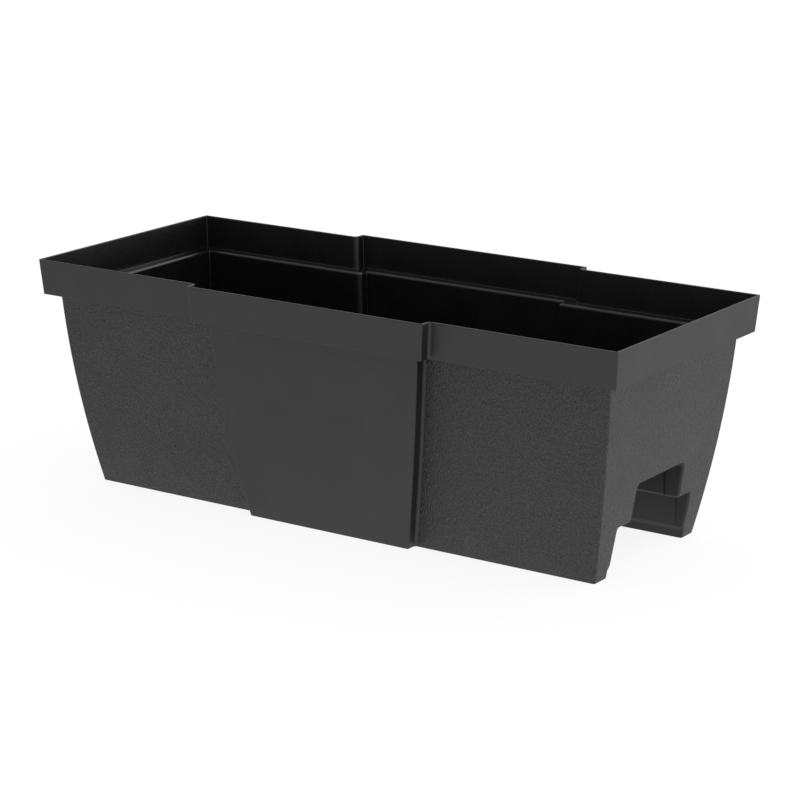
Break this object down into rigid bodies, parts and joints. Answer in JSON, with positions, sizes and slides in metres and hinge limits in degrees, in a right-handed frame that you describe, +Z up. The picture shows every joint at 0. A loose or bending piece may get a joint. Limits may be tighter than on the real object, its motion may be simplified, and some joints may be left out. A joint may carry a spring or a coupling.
{
  "type": "deck rail planter",
  "caption": "Long planter box with curved flaring walls, a rim band, a proud middle section on both long sides, a stepped saddle below that straddles a railing, and push-in drain plugs.",
  "frame": {"origin": "middle of the box, on the surface that the soles of its two legs stand on", "axes": "+X along the box, +Z up out of its mouth, -Y the front in the picture"},
  "size_m": [0.7, 0.3114, 0.2457],
  "materials": {
    "shell_plastic": "satin charcoal moulding; the four end sections carry a fine pebble grain",
    "plug_plastic": "matt black"
  },
  "bodies": {
    "planter": {"planter_shell": "shell_plastic"},
    "front_left_plug": {"drain_plug_front_left": "plug_plastic"},
    "front_right_plug": {"drain_plug_front_right": "plug_plastic"},
    "rear_left_plug": {"drain_plug_rear_left": "plug_plastic"},
    "rear_right_plug": {"drain_plug_rear_right": "plug_plastic"}
  },
  "joints": [
    {"name": "front_left_plug_pull", "type": "slide", "parent": "planter", "child": "front_left_plug", "axis": [0, 0, 1], "range_m": [0, 0.04]},
    {"name": "front_right_plug_pull", "type": "slide", "parent": "planter", "child": "front_right_plug", "axis": [0, 0, 1], "range_m": [0, 0.04]},
    {"name": "rear_left_plug_pull", "type": "slide", "parent": "planter", "child": "rear_left_plug", "axis": [0, 0, 1], "range_m": [0, 0.04]},
    {"name": "rear_right_plug_pull", "type": "slide", "parent": "planter", "child": "rear_right_plug", "axis": [0, 0, 1], "range_m": [0, 0.04]}
  ]
}
